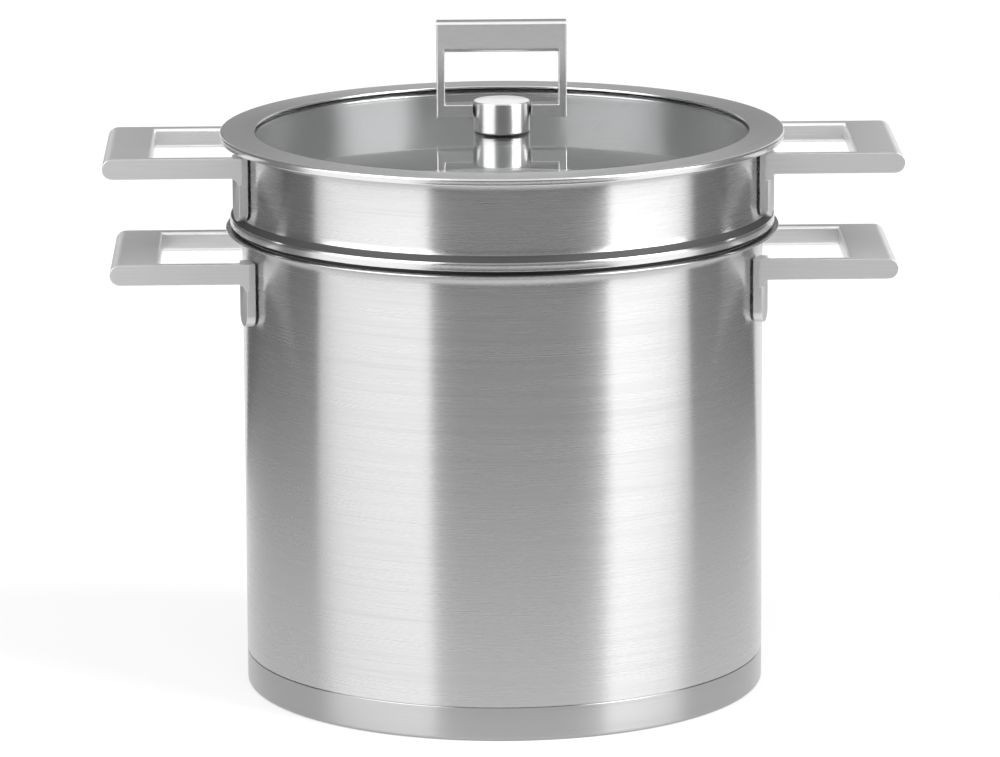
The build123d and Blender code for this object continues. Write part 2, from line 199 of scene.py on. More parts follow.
# Dull blasted top of the knob; its light colour is painted light, a lighter copy of the knob's steel.
lit_faced_steel = turned_steel("stainless_blasted_knob_top_painted_light", "#F0F0F0", 0.7, 0.0, line=0.3, streak=20.0, depth=0.003)
core_metal = turned_steel("aluminium_rolled_core", "#D0D1D3", 0.5, 0.0, line=1.2)
print("straight finishes:", grip_steel.name, loop_steel.name, "polished:", knob_steel.name)

# %% [markdown]
# ## Glass and silicone
# The lid is tempered soda-lime glass, clear with a faint green in its depth. Seal and washer are
# black silicone rubber: matt, a little soft in its shine, with a fine moulded tooth.

# %% Glass and silicone
HAZE_PER_METRE, TOOTH_PER_METRE = 25.0, 2500.0

lid_glass_clear, tree = new_material("glass_tempered_clear")
where = add(tree, "ShaderNodeTexCoord").outputs["Object"]
haze_at = add(tree, "ShaderNodeVectorMath", {0: where, 1: [HAZE_PER_METRE] * 3},
              operation="MULTIPLY").outputs[0]
haze = add(tree, "ShaderNodeTexNoise", {"Vector": haze_at, "Scale": 1.0, "Detail": 3.0}).outputs[0]
film = add(tree, "ShaderNodeMapRange",
           {"Value": haze, "From Min": 0.3, "From Max": 0.7, "To Min": 0.0, "To Max": 0.015}).outputs[0]
glass_shader = add(tree, "ShaderNodeBsdfPrincipled",
                   {"Base Color": linear("#FCFDFD"), "Roughness": film, "IOR": 1.52, "Transmission Weight": 1.0})
add(tree, "ShaderNodeOutputMaterial", {"Surface": glass_shader.outputs[0]})

silicone, tree = new_material("silicone_black_moulded")
where = add(tree, "ShaderNodeTexCoord").outputs["Object"]
tooth_at = add(tree, "ShaderNodeVectorMath", {0: where, 1: [TOOTH_PER_METRE] * 3},
               operation="MULTIPLY").outputs[0]
tooth = add(tree, "ShaderNodeTexNoise", {"Vector": tooth_at, "Scale": 1.0, "Detail": 2.0}).outputs[0]
dull = add(tree, "ShaderNodeMapRange",
           {"Value": tooth, "From Min": 0.3, "From Max": 0.7, "To Min": 0.5, "To Max": 0.65}).outputs[0]
press = add(tree, "ShaderNodeBump",
            {"Height": tooth, "Strength": BUMP_STRENGTH, "Distance": 0.02 * MM}).outputs[0]
black = add(tree, "ShaderNodeValToRGB", {"Fac": tooth})
black.color_ramp.elements[0].color, black.color_ramp.elements[1].color = linear("#1B1B1C"), linear("#2A2A2B")
rubber_shader = add(tree, "ShaderNodeBsdfPrincipled",
                    {"Base Color": black.outputs[0], "Roughness": dull, "IOR": 1.43, "Normal": press})
add(tree, "ShaderNodeOutputMaterial", {"Surface": rubber_shader.outputs[0]})
print("see-through:", lid_glass_clear.name, "rubber:", silicone.name)

# %% [markdown]
# ## Turned pieces
# A drawn pot, a spun collar and a turned knob all have one outline that runs round an axis. They
# could be a Screw modifier on a curve. Here the outline is spun in mesh code, because that lets
# every face get its place on the UV map: U runs along the outline and V round the axis, which
# gives the brushing its direction.

# %% Spin an outline
def arc(across, up, radius, start, turn, steps=8):
    """Points along an arc of an outline, with angles in degrees."""
    return [(across + radius * cos(radians(start + turn * k / steps)),
             up + radius * sin(radians(start + turn * k / steps))) for k in range(steps + 1)]


def finished(name, bm, material, crease=35):
    """Turns a bmesh into an object with smooth faces and crisp creases."""
    mesh = bpy.data.meshes.new(name)
    for face in bm.faces:
        face.smooth = True
    bm.to_mesh(mesh)
    bm.free()
    mesh.set_sharp_from_angle(angle=radians(crease))
    piece = bpy.data.objects.new(name, mesh)
    bpy.context.scene.collection.objects.link(piece)
    piece.data.materials.append(material)
    return piece


def turned(name, outline, material, steps=192, inside=None):
    """Spins a closed outline of (radius, height) points in mm round the upright axis."""
    bm = bmesh.new()
    uv = bm.loops.layers.uv.new("brushing")
    turns = [2 * pi * k / steps for k in range(steps)]
    rings = []
    for radius, height in outline:
        around = turns if radius else turns[:1]
        rings.append([bm.verts.new((radius * cos(a) * MM, radius * sin(a) * MM, height * MM)) for a in around])
    run = [0.0]
    for here, there in zip(outline, outline[1:] + outline[:1]):
        run.append(run[-1] + sqrt((there[0] - here[0]) ** 2 + (there[1] - here[1]) ** 2))
    for k, low in enumerate(rings):
        high = rings[(k + 1) % len(rings)]
        if len(low) == len(high) == 1:
            continue
        for s in range(steps):
            corners = [(low[s % len(low)], k, s), (low[(s + 1) % len(low)], k, s + 1),
                       (high[(s + 1) % len(high)], k + 1, s + 1), (high[s % len(high)], k + 1, s)]
            if len(low) == 1:
                corners.pop(1)
            if len(high) == 1:
                corners.pop(2)
            face = bm.faces.new([c[0] for c in corners])
            for loop, (_, along, round_) in zip(face.loops, corners):
                loop[uv].uv = (run[along] / run[-1], round_ / steps)
    bmesh.ops.recalc_face_normals(bm, faces=bm.faces)
    for face in bm.faces:
        middle = face.calc_center_median()
        outwards = Vector((middle.x, middle.y, 0)).normalized()
        face.material_index = int(inside is not None and face.normal.dot(outwards) < -0.5)
    piece = finished(name, bm, material)
    if inside:
        piece.data.materials.append(inside)
    return piece


def refinish(piece, material, chosen):
    """Gives the faces for which chosen(radius, height) in mm is true another finish."""
    piece.data.materials.append(material)
    for face in piece.data.polygons:
        if chosen(face.center.xy.length / MM, face.center.z / MM):
            face.material_index = len(piece.data.materials) - 1


def dress(piece, node, body):
    """Puts a finished piece in the place of its solid."""
    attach(piece, body)
    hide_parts(node)
    print(piece.name, "replaces", node, "faces", len(piece.data.polygons))


# %% [markdown]
# ## The pot
# The pot is deep drawn from one sheet, and its rim is rolled outwards so that water pours without
# running down the wall. The bend shows as a fine bright line, so it is a true arc here.

# %% Pot shell
POT, SHEET, RIM_BEND, POT_CORNER = 110.8, 0.8, 4.6, 7.5
rim_across, rim_up, rim_edge, corner_low, corner_high = POT + RIM_BEND, 192.9, 117.7, 7.2, 14.7
pot_outline = (
    [(0, corner_low), (POT - POT_CORNER, corner_low), (POT, corner_high)]
    + arc(rim_across, rim_up, RIM_BEND, 180, -90, 12)
    + arc(rim_edge - 0.4, rim_up + RIM_BEND + SHEET / 2, SHEET / 2, -90, 180, 8)
    + arc(rim_across, rim_up, RIM_BEND + SHEET, 90, 90, 12)
    + [(POT - SHEET, corner_high), (POT - POT_CORNER, corner_low + SHEET), (0, corner_low + SHEET)]
)
dress(turned("pot_wall", pot_outline, wall_steel, inside=lit_inside_steel), "pot_shell", "pot")

# %% [markdown]
# ## The base
# A stainless cup holds an aluminium disc under the pot. It is pressed on hot, and its edge stays
# as a fine groove round the wall. The edge that meets the hob is rounded.

# %% Base cup and core
CUP_TOP, CUP_SHEET, CUP_EDGE = 14.4, 0.7, 1.6
cup_outline = (
    [(0, 0), (POT - CUP_EDGE, 0)]
    + arc(POT - CUP_EDGE, CUP_EDGE, CUP_EDGE, -90, 90, 8)[1:]
    + [(POT, CUP_TOP - 0.25), (POT - 0.2, CUP_TOP), (POT - CUP_SHEET, CUP_TOP - CUP_SHEET),
       (POT - CUP_SHEET, CUP_SHEET), (0, CUP_SHEET)]
)
dress(turned("base_cap", cup_outline, cup_steel), "base_cup", "pot")
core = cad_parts["base_core"]
core.data.materials.clear()
core.data.materials.append(core_metal)

# %% [markdown]
# ## The collar of the insert
# The collar is a plain ring that stands on the pot. Its foot flares out over the pot's rim, folds
# down again and leaves a dark gap there, and its upper lip carries the lid. The flare and the fold
# are two arcs, because it is their change from hollow to round that draws the light and dark lines.

# %% Collar
COLLAR, COLLAR_BEND, BEND_UP, FOOT_LOW = 113.3, 4.6, 233.0, 200.0
FLARE_TOP, FLARE_BEND, FLARE_TURN, FLARE_RUN, FOLD = 209.2, 8.0, 35.0, 1.2, 2.2


def foot_side(offset):
    """One side of the foot's sheet, flared out and folded down; offset is the depth in the sheet."""
    slope = radians(FLARE_TURN)
    fold_across = COLLAR + FLARE_BEND * (1 - cos(slope)) + FLARE_RUN * sin(slope) - FOLD * cos(slope)
    fold_up = FLARE_TOP - FLARE_BEND * sin(slope) - FLARE_RUN * cos(slope) - FOLD * sin(slope)
    return (arc(COLLAR + FLARE_BEND, FLARE_TOP, FLARE_BEND + offset, 180, FLARE_TURN, 10)
            + arc(fold_across, fold_up, FOLD - offset, FLARE_TURN, -FLARE_TURN, 8))


foot_outside, foot_inside = foot_side(0.0), foot_side(SHEET)
fold_end = foot_outside[-1]
lip = fold_end[0] - SHEET / 2
collar_outline = (
    foot_outside
    + arc(lip, FOOT_LOW + SHEET / 2, SHEET / 2, 0, -180, 8)
    + foot_inside[::-1]
    + arc(COLLAR + COLLAR_BEND, BEND_UP, COLLAR_BEND + SHEET, 180, -90, 12)
    + arc(COLLAR + COLLAR_BEND, BEND_UP, COLLAR_BEND, 90, 90, 12)
)
print("foot edge at radius", round(fold_end[0], 2), "fold ends at", round(fold_end[1], 2))
collar = turned("collar", collar_outline, wall_steel, inside=lit_inside_steel)
refinish(collar, edge_steel, lambda radius, height: radius > lip + 0.1 and height < fold_end[1] + 0.2)
# Painted shade: the dark copy of the steel goes on the inner side. It also takes a band of 2.6 mm on the outside of
# the flare.
refinish(collar, shade_painted_steel, lambda radius, height: radius < lip - 0.1 and height < FLARE_TOP - 3)
dress(collar, "insert_collar", "insert")

# %% [markdown]
# ## The strainer
# The basket hangs inside the pot. Its wall is punched with rows of round holes, each row shifted by
# half a pitch. Cutting a thousand holes with booleans would be slow, so one tile of sheet with one
# hole is repeated over a flat grid by Geometry Nodes, and the grid is then rolled into a wall. The
# rolling is one formula: the distance along the grid becomes an angle. Tile corners and edge
# middles meet exactly, so the rolled wall merges into one closed skin with its neck and floor.

# %% One tile of the strainer's wall
BASKET, BASKET_LOW, CORNER = 106.0, 18.0, 9.0
HOLES_ROUND, HOLE_ROWS, HOLE_RADIUS, ROW_STEP = 64, 16, 2.4, 9.0
band_low = 39.5
band_high = band_low + HOLE_ROWS * ROW_STEP
PITCH = 2 * pi * BASKET / HOLES_ROUND


def wall_tile(name, sides=12):
    """One tile of sheet with a round hole: width along X, height along Y, thickness along Z."""
    bm = bmesh.new()
    half, tall = PITCH / 2, ROW_STEP / 2
    rim_points = [(half, 0), (half, tall), (0, tall), (-half, tall),
                  (-half, 0), (-half, -tall), (0, -tall), (half, -tall)]
    turns = [2 * pi * k / sides for k in range(sides)]
    hole_points = [(HOLE_RADIUS * cos(a), HOLE_RADIUS * sin(a)) for a in turns]
    levels = []
    for depth in (0.0, -SHEET):
        rim = [bm.verts.new((x * MM, y * MM, depth * MM)) for x, y in rim_points]
        hole = [bm.verts.new((x * MM, y * MM, depth * MM)) for x, y in hole_points]
        edges = [bm.edges.new((loop[k], loop[(k + 1) % len(loop)]))
                 for loop in (rim, hole) for k in range(len(loop))]
        fill = bmesh.ops.triangle_fill(bm, use_beauty=True, use_dissolve=False, edges=edges)
        for face in [f for f in fill["geom"] if isinstance(f, bmesh.types.BMFace)]:
            if (face.normal.z > 0) != (depth == 0.0):
                face.normal_flip()
        levels.append(hole)
    for k in range(sides):
        after = (k + 1) % sides
        bm.faces.new((levels[0][after], levels[0][k], levels[1][k], levels[1][after]))
    print("tile faces:", len(bm.faces))
    return finished(name, bm, strainer_steel, 60)


tile = wall_tile("strainer_tile")

# %% Repeat the tile and roll the wall
rolling = bpy.data.node_groups.new("strainer_wall", "GeometryNodeTree")
socket_ids = {}
for title, kind, value in (
        ("Tile", "NodeSocketObject", None), ("Holes round", "NodeSocketInt", HOLES_ROUND),
        ("Rows", "NodeSocketInt", HOLE_ROWS), ("Pitch", "NodeSocketFloat", PITCH * MM),
        ("Row step", "NodeSocketFloat", ROW_STEP * MM), ("Wall radius", "NodeSocketFloat", BASKET * MM),
        ("Lowest edge", "NodeSocketFloat", band_low * MM), ("Steel", "NodeSocketMaterial", None)):
    socket = rolling.interface.new_socket(title, in_out="INPUT", socket_type=kind)
    socket_ids[title] = socket.identifier
    if value is not None:
        socket.default_value = value
rolling.interface.new_socket("Geometry", in_out="OUTPUT", socket_type="NodeSocketGeometry")
given = add(rolling, "NodeGroupInput").outputs
cells = add(rolling, "ShaderNodeMath", {0: given["Holes round"], 1: given["Rows"]}, operation="MULTIPLY").outputs[0]
points = add(rolling, "GeometryNodePoints", {"Count": cells}).outputs[0]
number = add(rolling, "GeometryNodeInputIndex").outputs[0]
rows_done = add(rolling, "ShaderNodeMath", {0: number, 1: given["Holes round"]},
                operation="DIVIDE").outputs[0]
row = add(rolling, "ShaderNodeMath", {0: rows_done}, operation="FLOOR").outputs[0]
place = add(rolling, "ShaderNodeMath", {0: number, 1: given["Holes round"]}, operation="MODULO").outputs[0]
odd = add(rolling, "ShaderNodeMath", {0: row, 1: 2.0}, operation="MODULO").outputs[0]
shifted = add(rolling, "ShaderNodeMath", {0: odd, 1: 0.5, 2: place}, operation="MULTIPLY_ADD").outputs[0]
along = add(rolling, "ShaderNodeMath", {0: shifted, 1: given["Pitch"]}, operation="MULTIPLY").outputs[0]
row_middle = add(rolling, "ShaderNodeMath", {0: row, 1: 0.5}, operation="ADD").outputs[0]
up = add(rolling, "ShaderNodeMath", {0: row_middle, 1: given["Row step"]}, operation="MULTIPLY").outputs[0]
flat_place = add(rolling, "ShaderNodeCombineXYZ", {0: along, 1: up}).outputs[0]
spots = add(rolling, "GeometryNodeSetPosition",
            {"Geometry": points, "Position": flat_place}).outputs[0]
one_tile = add(rolling, "GeometryNodeObjectInfo", {"Object": given["Tile"]}).outputs["Geometry"]
tiles = add(rolling, "GeometryNodeInstanceOnPoints", {"Points": spots, "Instance": one_tile}).outputs[0]
flat_wall = add(rolling, "GeometryNodeRealizeInstances", {0: tiles}).outputs[0]
at = add(rolling, "ShaderNodeSeparateXYZ", {0: add(rolling, "GeometryNodeInputPosition").outputs[0]})
angle = add(rolling, "ShaderNodeMath", {0: at.outputs[0], 1: given["Wall radius"]}, operation="DIVIDE").outputs[0]
reach = add(rolling, "ShaderNodeMath", {0: at.outputs[2], 1: given["Wall radius"]}, operation="ADD").outputs[0]
cosine = add(rolling, "ShaderNodeMath", {0: angle}, operation="COSINE").outputs[0]
sideways = add(rolling, "ShaderNodeMath", {0: reach, 1: cosine}, operation="MULTIPLY").outputs[0]
sine = add(rolling, "ShaderNodeMath", {0: angle}, operation="SINE").outputs[0]
inwards = add(rolling, "ShaderNodeMath", {0: reach, 1: sine}, operation="MULTIPLY").outputs[0]
height = add(rolling, "ShaderNodeMath", {0: at.outputs[1], 1: given["Lowest edge"]},
             operation="ADD").outputs[0]
round_place = add(rolling, "ShaderNodeCombineXYZ", {0: sideways, 1: inwards, 2: height}).outputs[0]
rolled = add(rolling, "GeometryNodeSetPosition",
             {"Geometry": flat_wall, "Position": round_place}).outputs[0]
joined = add(rolling, "GeometryNodeMergeByDistance", {"Geometry": rolled, "Distance": 0.01 * MM}).outputs[0]
real = add(rolling, "GeometryNodeRealizeInstances", {0: joined}).outputs[0]
steel_wall = add(rolling, "GeometryNodeSetMaterial", {"Geometry": real, "Material": given["Steel"]}).outputs[0]
add(rolling, "NodeGroupOutput", {0: steel_wall})

band_seed = bpy.data.objects.new("strainer_band_seed", bpy.data.meshes.new("strainer_band_seed"))
bpy.context.scene.collection.objects.link(band_seed)
roller = band_seed.modifiers.new("rolled_wall", "NODES")
roller.node_group = rolling
roller[socket_ids["Tile"]] = tile
roller[socket_ids["Steel"]] = strainer_steel
bpy.context.view_layer.update()
band = bpy.data.meshes.new_from_object(band_seed.evaluated_get(bpy.context.evaluated_depsgraph_get()))
band_seed.modifiers.clear()
for spare in (band_seed, tile):
    bpy.data.objects.remove(spare)
print("holes in the wall:", HOLES_ROUND * HOLE_ROWS, "faces:", len(band.polygons))

# %% [markdown]
# ## Neck, shoulder and floor of the strainer
# The basket's conical shoulder sits on the bend of the pot's rim and its neck is spot welded into
# the collar. The floor has rings of the same holes, filled as flat sheet between round edges.

# %% Basket
neck_outside, neck_high, neck_edge, shoulder_base = 112.4, 207.8, 0.4, rim_up - rim_across
GAP_HIGH = 206.0
shoulder_under = sqrt(2) * (RIM_BEND + SHEET + 0.25)
shoulder_over = shoulder_under + sqrt(2) * SHEET
upper_side = (
    [(BASKET, band_high), (BASKET, shoulder_base + BASKET + shoulder_under),
     (neck_outside, shoulder_base + neck_outside + shoulder_under), (neck_outside, neck_high)]
    + arc(neck_outside - neck_edge, neck_high, neck_edge, 0, 180, 6)[1:]
    + [(neck_outside - SHEET, shoulder_base + neck_outside - SHEET + shoulder_over),
       (BASKET - SHEET, shoulder_base + BASKET - SHEET + shoulder_over), (BASKET - SHEET, band_high)]
)
bend_in = arc(BASKET - CORNER, BASKET_LOW + CORNER, CORNER - SHEET, 0, -90, 8)
bend_out = arc(BASKET - CORNER, BASKET_LOW + CORNER, CORNER, -90, 90, 8)
inner_side, outer_side = [(BASKET - SHEET, band_low)] + bend_in, bend_out + [(BASKET, band_low)]
bm = bmesh.new()
bm.from_mesh(band)
bpy.data.meshes.remove(band)
turns = [2 * pi * k / (2 * HOLES_ROUND) for k in range(2 * HOLES_ROUND)]
floor_rims = {}
for side, outline in (("upper", upper_side), ("inner", inner_side), ("outer", outer_side)):
    rings = [[bm.verts.new((r * cos(a) * MM, r * sin(a) * MM, z * MM)) for a in turns] for r, z in outline]
    for low, high in zip(rings, rings[1:]):
        for k in range(len(turns)):
            after = (k + 1) % len(turns)
            bm.faces.new((low[k], low[after], high[after], high[k]))
    floor_rims[side] = rings[-1] if side == "inner" else rings[0]
FLOOR_RINGS, RING_PITCH, SIDES = 8, 11.0, 12
round_hole = [(HOLE_RADIUS * cos(2 * pi * k / SIDES), HOLE_RADIUS * sin(2 * pi * k / SIDES))
              for k in range(SIDES)]
spots = [(0.0, 0.0)]
for ring in range(1, FLOOR_RINGS + 1):
    for k in range(6 * ring):
        a = 2 * pi * (k + ring % 2 / 2) / (6 * ring)
        spots.append((ring * RING_PITCH * cos(a), ring * RING_PITCH * sin(a)))
punched = {}
for level, level_up in (("inner", BASKET_LOW + SHEET), ("outer", BASKET_LOW)):
    rim = floor_rims[level]
    holes = [[bm.verts.new(((x + dx) * MM, (y + dy) * MM, level_up * MM)) for dx, dy in round_hole]
             for x, y in spots]
    edges = [bm.edges.get((rim[k], rim[(k + 1) % len(rim)])) for k in range(len(rim))]
    edges += [bm.edges.new((hole[k], hole[(k + 1) % SIDES])) for hole in holes for k in range(SIDES)]
    bmesh.ops.triangle_fill(bm, use_beauty=True, use_dissolve=False, edges=edges)
    punched[level] = holes
for above, below in zip(punched["inner"], punched["outer"]):
    for k in range(SIDES):
        after = (k + 1) % SIDES
        bm.faces.new((above[after], above[k], below[k], below[after]))
bmesh.ops.remove_doubles(bm, verts=bm.verts, dist=0.02 * MM)
bmesh.ops.recalc_face_normals(bm, faces=bm.faces)
open_edges = sum(1 for e in bm.edges if len(e.link_faces) != 2)
print("holes in the floor:", len(spots), "open edges:", open_edges)
strainer = finished("strainer", bm, strainer_steel, 40)
# Painted shade: the strainer's neck, in the gap inside the collar, takes the dark copy of the steel.
refinish(strainer, shade_painted_steel, lambda radius, height: radius > neck_outside - 0.3 and height < GAP_HIGH)
dress(strainer, "strainer_basket", "insert")

# %% [markdown]
# ## Loop handles
# Each handle is one forging: a flat grip plate, two arms and two feet that stand off the wall on
# weld pads. It is built from stations along the arms, pushed outwards one after the other, and
# its edges are rounded as on the real one: wide round the finger hole, small elsewhere.

# %% Build a handle
REACH, GRIP, HALF, TALL, ARM = 55.2, 20.3, 39.3, 8.6, 5.2
STANDOFF, LEG, LEG_WIDE, LEG_DROP, GUSSET = 0.55, 3.8, 10.4, 27.5, 2.8
FINGER_ROUND, EDGE_ROUND, ARM_SUNK, NEAR = 1.6, 0.7, 2.0, 0.01


def leg_turn(wall, end):
    """Angle at which a leg stands on the wall beside one end of the grip."""
    face = wall + STANDOFF + LEG
    return end * (asin(HALF / sqrt(face ** 2 + (LEG_WIDE / 2) ** 2)) - atan2(LEG_WIDE / 2, face))


def slab(bm, outline, low, high, place):
    """A prism from an outline: place turns (x, y, depth) in mm into a point in mm."""
    near = [bm.verts.new([c * MM for c in place(x, y, low)]) for x, y in outline]
    far = [bm.verts.new([c * MM for c in place(x, y, high)]) for x, y in outline]
    bm.faces.new(near)
    bm.faces.new(far[::-1])
    for k in range(len(outline)):
        after = (k + 1) % len(outline)
        bm.faces.new((near[after], near[k], far[k], far[after]))


def fused(name, first, second, crease):
    """One piece from two that overlap, as a forging is one."""
    union = first.modifiers.new("union", "BOOLEAN")
    union.operation, union.solver, union.object = "UNION", "EXACT", second
    bpy.context.view_layer.update()
    mesh = bpy.data.meshes.new_from_object(first.evaluated_get(bpy.context.evaluated_depsgraph_get()))
    for spare in (first, second):
        bpy.data.objects.remove(spare)
    bm = bmesh.new()
    bm.from_mesh(mesh)
    bpy.data.meshes.remove(mesh)
    bmesh.ops.remove_doubles(bm, verts=bm.verts, dist=0.001 * MM)
    print(name, "open edges after the union:", sum(1 for e in bm.edges if len(e.link_faces) != 2))
    return finished(name, bm, grip_steel, crease)


def handle(name, wall, top, side):
    """One loop handle; side is 1 on the right and -1 on the left."""
    bm = bmesh.new()
    turn, reach = leg_turn(wall, 1), wall + (STANDOFF + LEG)
    root = reach * cos(turn) + (reach * sin(turn) - (HALF - ARM / 2)) * sin(turn) / cos(turn)
    inner, outer, low = wall + REACH - GRIP, wall + REACH - TALL / 2, top - TALL
    nose = arc(outer, top - TALL / 2, TALL / 2, 90, -180, 10)
    stations = [-HALF, -HALF + ARM, HALF - ARM, HALF]
    section = [(inner, low), (inner, top)] + nose
    loops = [[bm.verts.new((x * MM, y * MM, z * MM)) for x, z in section] for y in stations]
    count = len(loops[0])
    for near, far in zip(loops, loops[1:]):
        for k in range(1, count):
            after = (k + 1) % count
            bm.faces.new((near[k], near[after], far[after], far[k]))
    bm.faces.new((loops[1][0], loops[1][1], loops[2][1], loops[2][0]))
    bm.faces.new(loops[0])
    bm.faces.new(loops[3][::-1])
    bends = [radians(a) for a in (0, 18, 36, 54, 72, 90)]
    under = [(root + GUSSET - GUSSET * sin(a), GUSSET * (1 - cos(a))) for a in bends]
    for one, two in ((0, 1), (2, 3)):
        last = [loops[one][0], loops[one][1], loops[two][1], loops[two][0]]
        for x, drop in under + [(root - ARM_SUNK, GUSSET)]:
            corners = ((one, low - drop), (one, top), (two, top), (two, low - drop))
            new = [bm.verts.new((x * MM, stations[j] * MM, z * MM)) for j, z in corners]
            for k in range(4):
                bm.faces.new((last[k], last[(k + 1) % 4], new[(k + 1) % 4], new[k]))
            last = new
        bm.faces.new(last)
    bmesh.ops.recalc_face_normals(bm, faces=bm.faces)

    def finger_edge(edge):
        """True for the edges round the finger hole."""
        one, two = (v.co / MM for v in edge.verts)
        on_arm = all(abs(abs(p.y) - (HALF - ARM)) < NEAR for p in (one, two))
        in_hole = all(root + GUSSET - NEAR <= p.x <= inner + NEAR for p in (one, two))
        lengthwise = abs(one.y - two.y) < NEAR or abs(one.x - inner) < NEAR
        return on_arm and in_hole and abs(one.z - two.z) < NEAR and lengthwise

    bmesh.ops.bevel(bm, geom=[e for e in bm.edges if finger_edge(e)], offset=FINGER_ROUND * MM,
                    segments=5, profile=0.5, affect="EDGES")
    legs = bmesh.new()
    straight = LEG_DROP - LEG_WIDE / 2
    foot = [(LEG_WIDE / 2, top), (-LEG_WIDE / 2, top)] + arc(0, top - straight, LEG_WIDE / 2, 180, 180, 14)
    for end in (-1, 1):
        turn = leg_turn(wall, end)

        def on_wall(x, z, depth, turn=turn):
            return (depth * cos(turn) - x * sin(turn), depth * sin(turn) + x * cos(turn), z)

        slab(legs, foot, wall + STANDOFF, wall + STANDOFF + LEG, on_wall)
    for part in (bm, legs):
        if side < 0:
            bmesh.ops.transform(part, matrix=Matrix.Scale(-1, 4, (1, 0, 0)), verts=part.verts)
        bmesh.ops.recalc_face_normals(part, faces=part.faces)
    frame_piece = finished(name + "_frame", bm, grip_steel)
    piece = fused(name, frame_piece, finished(name + "_legs", legs, grip_steel), 30)
    rounding = piece.modifiers.new("softened_edges", "BEVEL")
    rounding.width, rounding.segments = EDGE_ROUND * MM, 3
    rounding.limit_method, rounding.angle_limit = "ANGLE", radians(40)
    rounding.harden_normals = True
    return piece


POT_GRIP, INSERT_GRIP = 188.9, 234.2
for body, wall, top in (("pot", POT, POT_GRIP), ("insert", COLLAR, INSERT_GRIP)):
    for side, word in ((1, "right"), (-1, "left")):
        dress(handle(f"{body}_grip_{word}", wall, top, side), f"{body}_handle_{word}", body)

# %% [markdown]
# ## Weld pads
# Small pads between leg and wall keep the leg off the steel, so no food or heat builds up there.
# They are low pillows of metal, squeezed a little wider at the middle by the weld.

# %% Build the pads
PAD_WIDE, PAD_TALL, PAD_SEAM, PAD_INSET = 5.6, 6.0, 0.05, 4.2
PAD_SIDES, PAD_SQUARE, PAD_SOFT, PAD_FACE = 16, 1.3, 0.15, 0.92


def weld_pads(name, wall, top, side):
    """The four pads of one handle."""
    bm = bmesh.new()
    for end in (-1, 1):
        turn = leg_turn(wall, end)
        for middle in (top - PAD_INSET, top + PAD_INSET + PAD_TALL / 2 - LEG_DROP):
            levels = []
            for depth, share in ((PAD_SEAM, PAD_FACE), (PAD_SEAM + PAD_SOFT, 1.0),
                                 (STANDOFF - PAD_SOFT, 1.0), (STANDOFF, PAD_FACE)):
                ring = []
                for k in range(PAD_SIDES):
                    a = 2 * pi * k / PAD_SIDES
                    x = share * PAD_WIDE / 2 * max(-1, min(1, PAD_SQUARE * cos(a)))
                    z = share * PAD_TALL / 2 * max(-1, min(1, PAD_SQUARE * sin(a)))
                    d = wall + depth
                    out, along = d * cos(turn) - x * sin(turn), d * sin(turn) + x * cos(turn)
                    ring.append(bm.verts.new((side * out * MM, along * MM, (middle + z) * MM)))
                levels.append(ring)
            for low, high in zip(levels, levels[1:]):
                for k in range(PAD_SIDES):
                    after = (k + 1) % PAD_SIDES
                    bm.faces.new((low[k], low[after], high[after], high[k]))
            bm.faces.new(levels[0])
            bm.faces.new(levels[-1])
    bmesh.ops.recalc_face_normals(bm, faces=bm.faces)
    return finished(name, bm, grip_steel, 40)


for body, wall, top in (("pot", POT, POT_GRIP), ("insert", COLLAR, INSERT_GRIP)):
    for side, word in ((1, "right"), (-1, "left")):
        dress(weld_pads(f"{body}_weld_pads_{word}", wall, top, side), f"{body}_pads_{word}", body)

# %% [markdown]
# ## The lid
# A glass disc hangs in a stainless ring. The ring's shoulder is rolled over and turned down, and
# the silicone seal between them is what shows as a dark band through the glass.

# %% Ring, seal and glass
RING, BORE, LID_TOP, SEAT, SKIRT_LOW = 120.0, 105.0, 239.4, 238.4, 236.3
BEAD, EDGE, SHOULDER = 0.2, 0.4, 1.1
ring_outline = (
    [(BORE + 1.2, SEAT)] + arc(BORE + BEAD, SEAT + BEAD, BEAD, 270, -90, 5)
    + arc(BORE + EDGE, LID_TOP - EDGE, EDGE, 180, -90, 5)
    + arc(RING - SHOULDER, LID_TOP - SHOULDER, SHOULDER, 90, -90, 10)
    + arc(RING - 0.5, SKIRT_LOW + 0.5, 0.5, 0, -180, 6)
    + [(RING - 1.0, SEAT - 0.5), (RING - 1.6, SEAT)]
)
lid_band = turned("lid_band", ring_outline, ring_steel, 256)
refinish(lid_band, edge_steel, lambda radius, height: radius > RING - 0.9 or radius < BORE + 0.3)
dress(lid_band, "lid_ring", "lid")
GLASS_TOP, GLASS_LOW, GLASS = 237.6, 233.8, 111.3
seal_outline = [(106.3, GLASS_TOP), (106.1, GLASS_TOP + 0.3), (106.3, SEAT - 0.3), (107.5, SEAT),
                (111.8, SEAT), (112.2, SEAT - 0.2), (112.2, GLASS_TOP)]
dress(turned("seal_band", seal_outline, silicone), "lid_seal", "lid")
glass_outline = [
    (4.0, GLASS_LOW + 0.4), (4.4, GLASS_LOW), (GLASS - 0.8, GLASS_LOW), (GLASS - 0.2, GLASS_LOW + 0.6),
    (GLASS, GLASS_LOW + 1.4), (GLASS, GLASS_TOP - 1.4), (GLASS - 0.2, GLASS_TOP - 0.6),
    (GLASS - 0.8, GLASS_TOP), (4.4, GLASS_TOP), (4.0, GLASS_TOP - 0.4)]
dress(turned("glass_pane", glass_outline, lid_glass_clear), "lid_glass", "lid")

# %% [markdown]
# ## Knob, washer, screw and pin
# The knob is turned from bar, its edges just broken, with the lathe centre's tiny dimple on top.
# A washer keeps it off the glass and a screw from below holds it. The loop turns on a pin.

